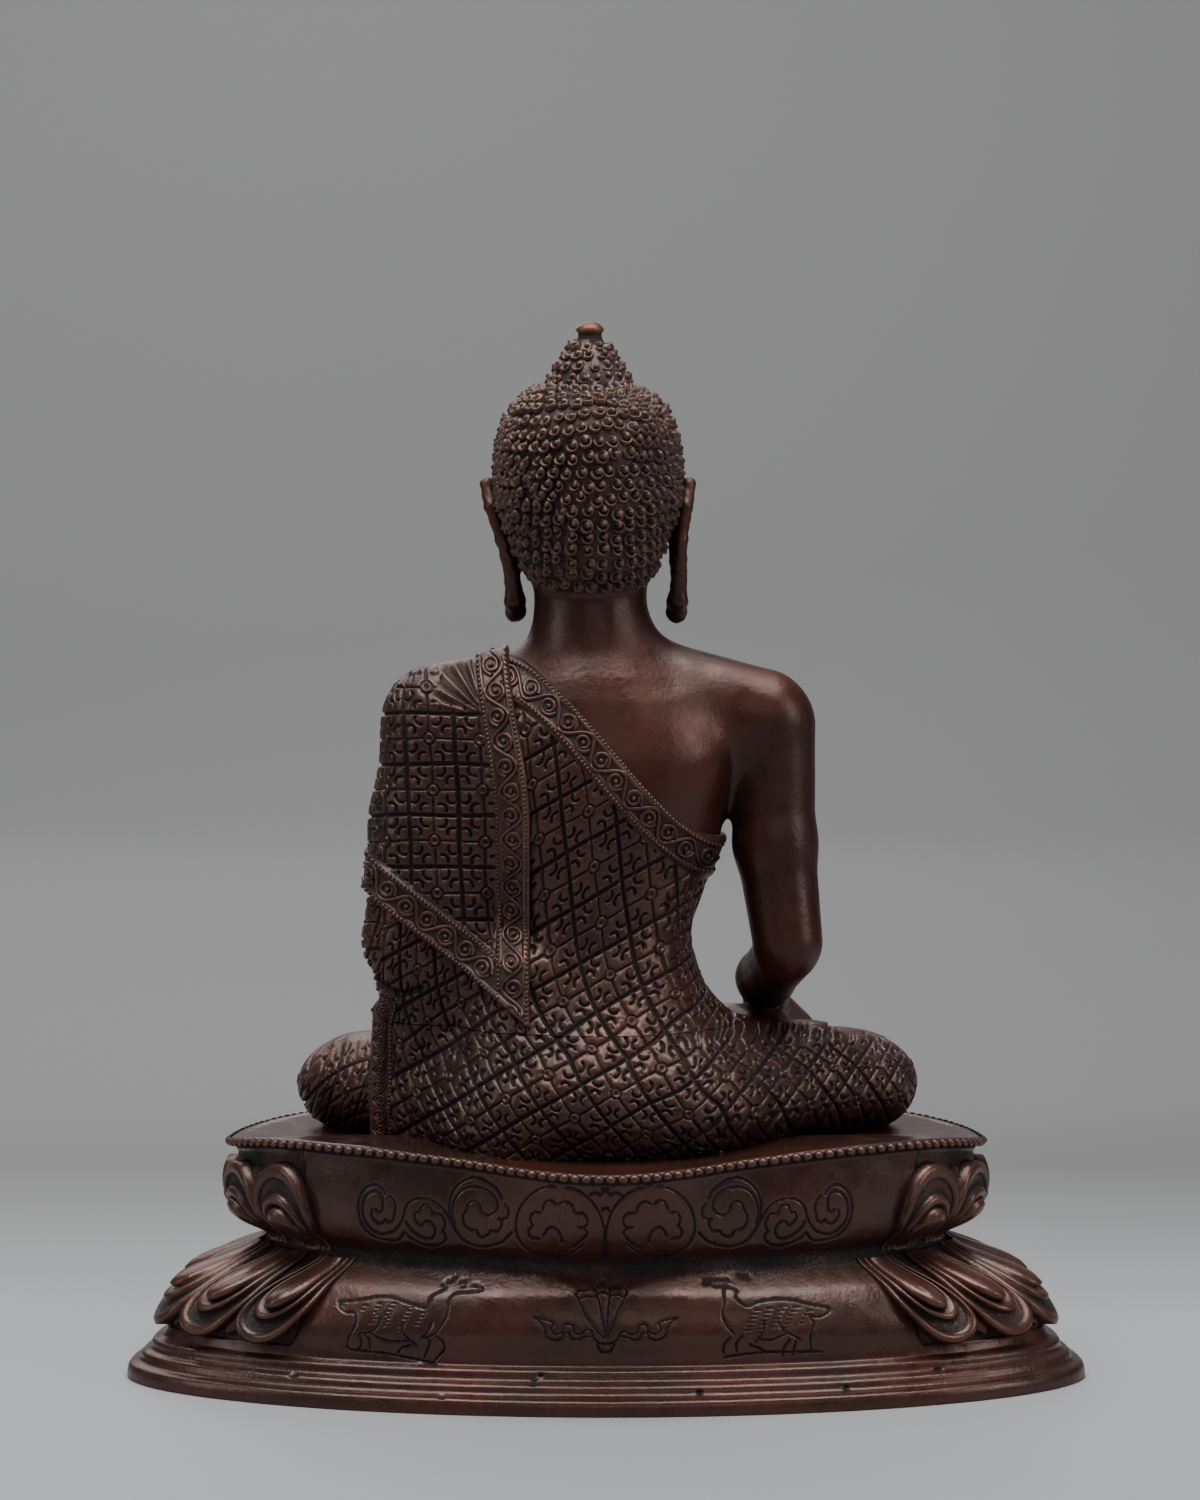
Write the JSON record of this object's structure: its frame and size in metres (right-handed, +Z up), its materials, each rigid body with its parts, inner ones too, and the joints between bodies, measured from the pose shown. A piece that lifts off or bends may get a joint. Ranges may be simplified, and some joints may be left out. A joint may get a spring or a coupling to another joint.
{
  "type": "shakyamuni buddha figure",
  "caption": "Seated Buddha in the earth-touching pose on a double lotus plinth, a cast copper statue with curled hair and a patterned robe.",
  "frame": {"origin": "on the ground under the middle of the plinth", "axes": "+Z up; the figure faces -Y, so its right hand is on the -X side"},
  "size_m": [0.2844, 0.1898, 0.3119],
  "materials": {
    "figure_copper": "oxidised copper, dark red-brown patina with rubbed copper edges",
    "plinth_copper": "oxidised copper, dark red-brown patina, satin"
  },
  "bodies": {
    "root": {"buddha_figure": "figure_copper", "lotus_plinth": "plinth_copper"}
  },
  "joints": []
}
